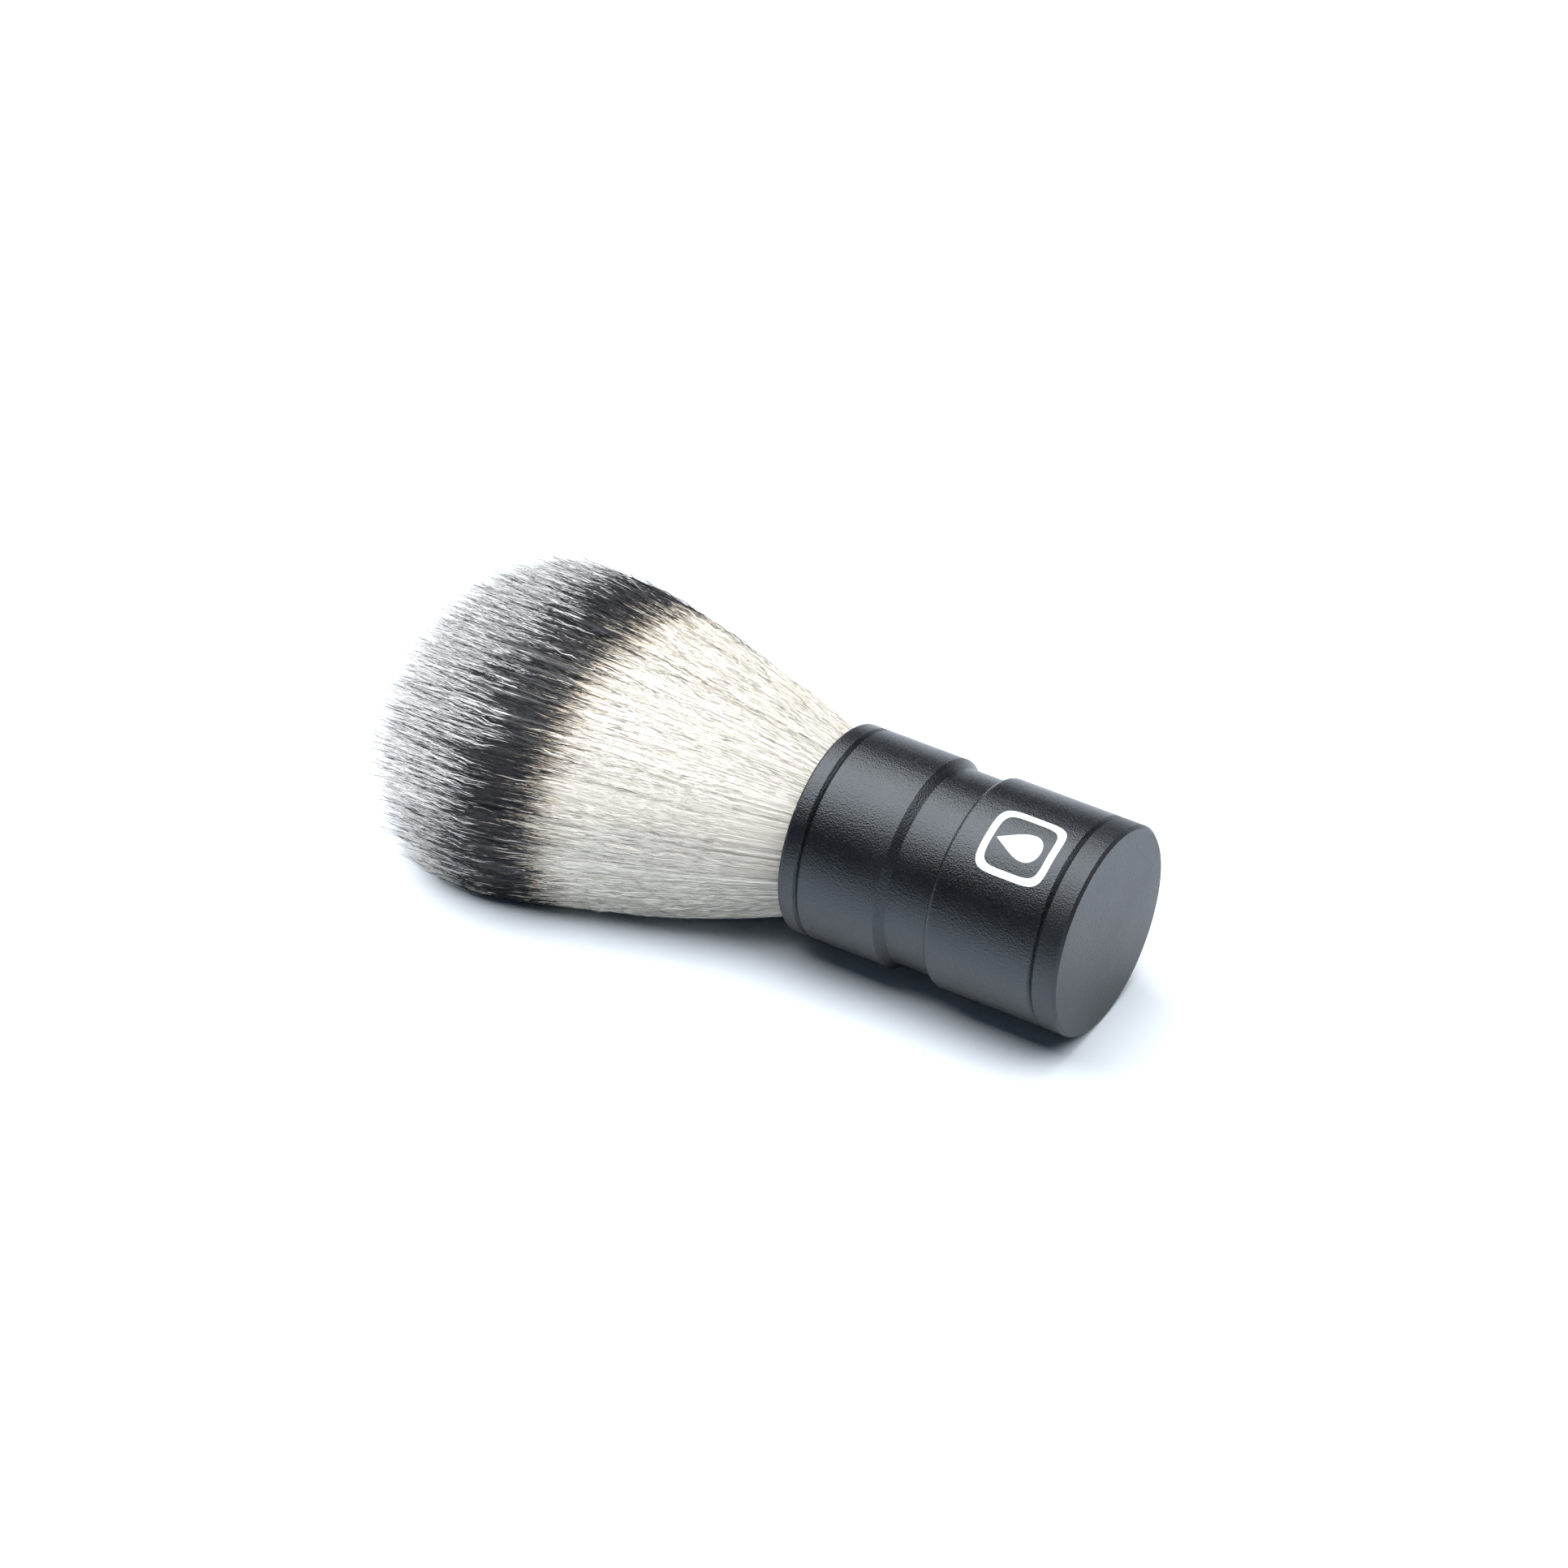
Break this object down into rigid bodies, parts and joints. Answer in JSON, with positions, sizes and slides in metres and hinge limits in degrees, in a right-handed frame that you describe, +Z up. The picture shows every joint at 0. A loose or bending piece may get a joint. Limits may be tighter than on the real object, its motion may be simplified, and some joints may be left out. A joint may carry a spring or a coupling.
{
  "type": "shaving brush",
  "caption": "Short cylindrical metal shaving brush with a waisted handle, a screw-in base cap and a screw-in collar that carries a splayed tuft of banded synthetic fibres.",
  "frame": {"origin": "on the floor under the middle of the brush, which lies on its side", "axes": "+X along the handle from the fibre tips to the base face, +Z up, +Y to the far side"},
  "size_m": [0.11, 0.0542, 0.0349],
  "materials": {
    "black_anodised": "satin",
    "brass": "satin",
    "steel": "satin",
    "seal_rubber": "matte",
    "pad_rubber": "matte",
    "gasket_rubber": "matte",
    "nylon": "satin",
    "resin": "gloss",
    "binding_thread": "matte",
    "bristle": "satin",
    "bare_metal_mark": "satin"
  },
  "bodies": {
    "handle": {"front_barrel": "black_anodised", "rear_barrel": "black_anodised", "barrel_seal": "seal_rubber", "ballast_slug": "brass", "ballast_screw": "steel", "spring_washer": "steel", "damping_pad": "pad_rubber", "knot_gasket": "gasket_rubber"},
    "base_seal": {"base_seal": "seal_rubber"},
    "base_cap": {"base_cap": "black_anodised"},
    "collar_seal": {"collar_seal": "seal_rubber"},
    "knot": {"front_collar": "black_anodised", "knot_cup": "nylon", "knot_resin": "resin", "knot_binding": "binding_thread", "bristle_root": "bristle"},
    "tuft": {"bristle_tuft": "bristle"}
  },
  "joints": [
    {"name": "base_cap_draw", "type": "slide", "parent": "handle", "child": "base_seal", "axis": [1, 0, 0], "range_m": [0, 0.004]},
    {"name": "base_cap_turn", "type": "hinge", "parent": "base_seal", "child": "base_cap", "pos_m": [0.051, 0, 0.0155], "axis": [1, 0, 0], "range_deg": [0, 1440]},
    {"name": "knot_draw", "type": "slide", "parent": "handle", "child": "collar_seal", "axis": [-1, 0, 0], "range_m": [0, 0.004]},
    {"name": "knot_turn", "type": "hinge", "parent": "collar_seal", "child": "knot", "pos_m": [0.011, 0, 0.0155], "axis": [-1, 0, 0], "range_deg": [0, 1440]},
    {"name": "tuft_sway", "type": "hinge", "parent": "knot", "child": "tuft", "pos_m": [0.0108, 0, 0.0155], "axis": [0, 0, 1], "range_deg": [-10, 10], "stiffness_Nm_per_rad": 0.03}
  ],
  "couplings": [
    {"joint": "base_cap_turn", "follows": "base_cap_draw", "rad_per_m": 6283.2},
    {"joint": "knot_turn", "follows": "knot_draw", "rad_per_m": 6283.2}
  ]
}
